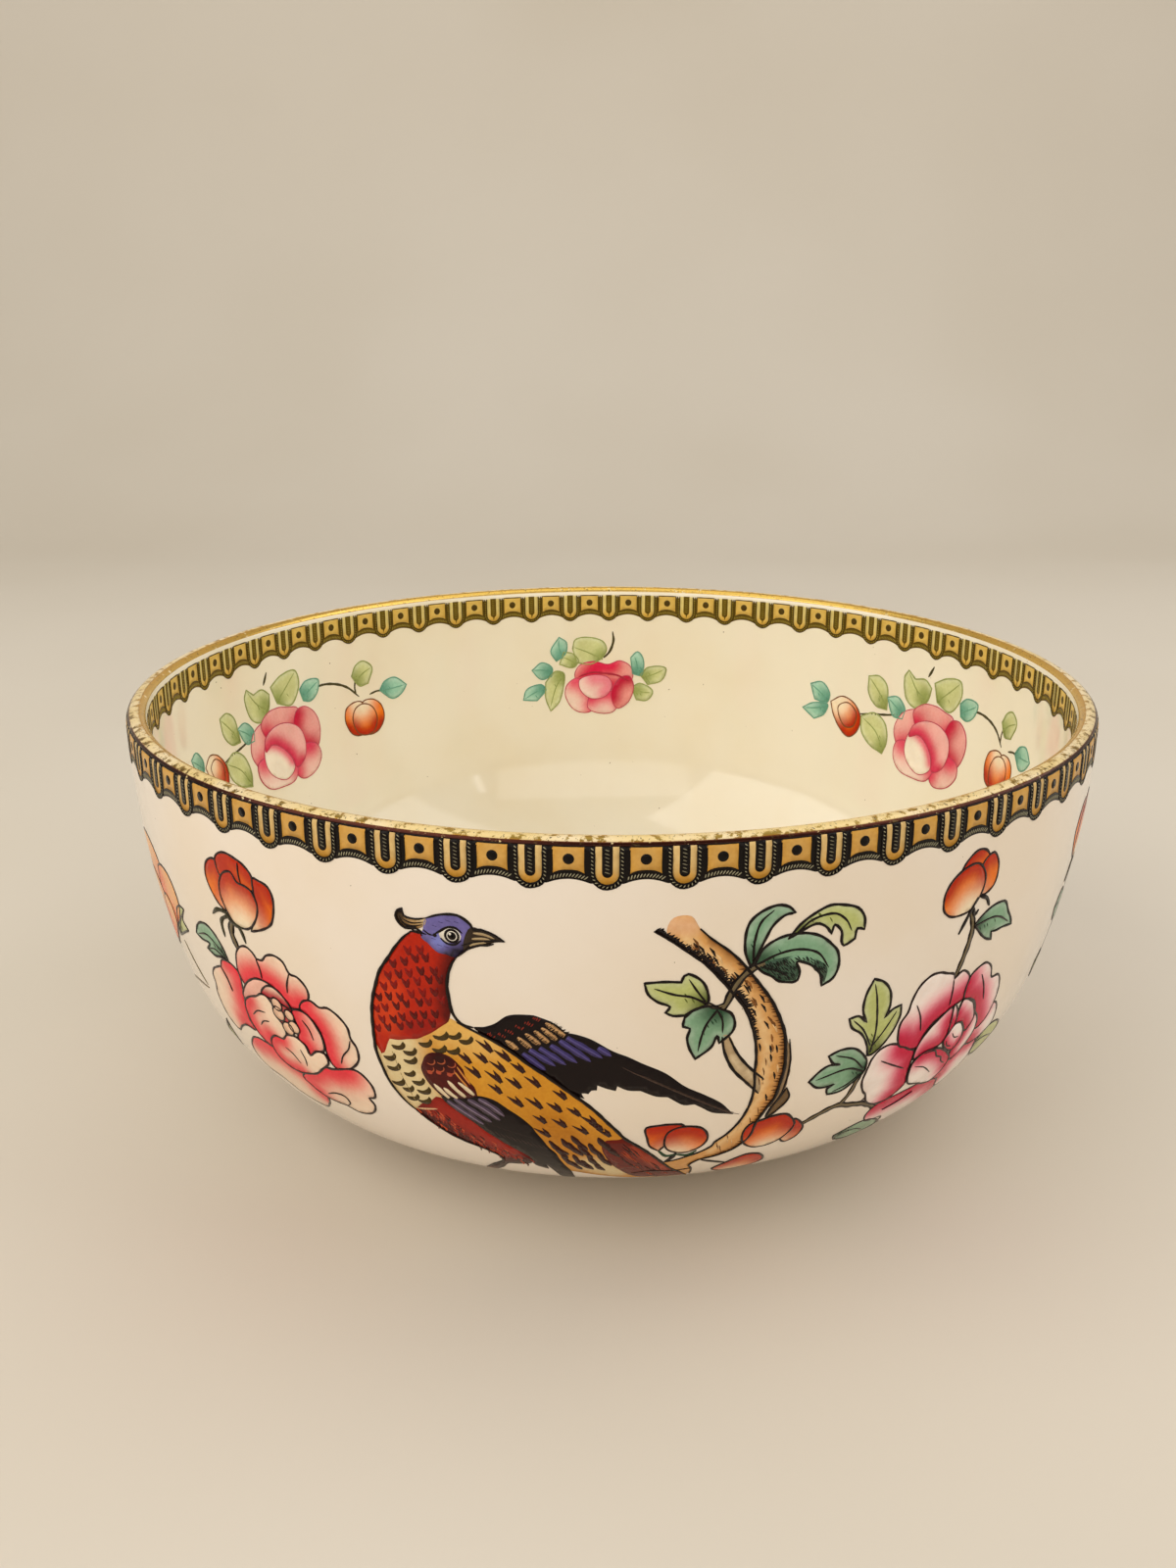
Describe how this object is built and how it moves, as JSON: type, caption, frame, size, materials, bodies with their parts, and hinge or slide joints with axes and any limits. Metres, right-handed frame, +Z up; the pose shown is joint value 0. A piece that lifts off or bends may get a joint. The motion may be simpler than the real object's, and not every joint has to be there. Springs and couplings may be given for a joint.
{
  "type": "serving bowl",
  "caption": "Round porcelain serving bowl with steep rounded walls on a low foot ring, a gilded lip, a printed border and enamelled bird and flower decoration.",
  "frame": {"origin": "centre of the circle that the foot ring stands on", "axes": "+Z up along the bowl's axis; the bird on the front faces -Y; +X to the right as seen from the front"},
  "size_m": [0.2304, 0.2304, 0.1002],
  "materials": {
    "glazed_porcelain": "warm white under a clear glossy glaze",
    "foot_porcelain": "glossy glaze wiped back to matt clay on the standing edge",
    "gilding": "worn, rubbed gold",
    "border_enamel": "glossy ochre and black enamel",
    "inner_border_enamel": "glossy olive, ochre and brown enamel",
    "bird_enamel": "glossy red, ochre, violet and black enamels",
    "branch_enamel": "glossy tan, green and orange enamels",
    "coral_flower_enamel": "glossy enamel shaded from coral to cream",
    "crimson_flower_enamel": "glossy enamel shaded from crimson to pale pink",
    "orange_flower_enamel": "glossy enamel shaded from orange to cream",
    "inner_spray_enamel": "glossy enamel in coral, green and orange"
  },
  "bodies": {
    "root": {"bowl_body": "glazed_porcelain", "foot_ring": "foot_porcelain", "gilt_rim_band": "gilding", "outer_border_band": "border_enamel", "inner_border_band": "inner_border_enamel", "pheasant_transfer": "bird_enamel", "branch_transfer": "branch_enamel", "left_peony_transfer": "coral_flower_enamel", "right_peony_transfer": "crimson_flower_enamel", "side_flower_transfer": "orange_flower_enamel", "back_bud_transfer": "orange_flower_enamel", "inner_small_sprays": "inner_spray_enamel", "inner_large_sprays": "inner_spray_enamel"}
  },
  "joints": []
}
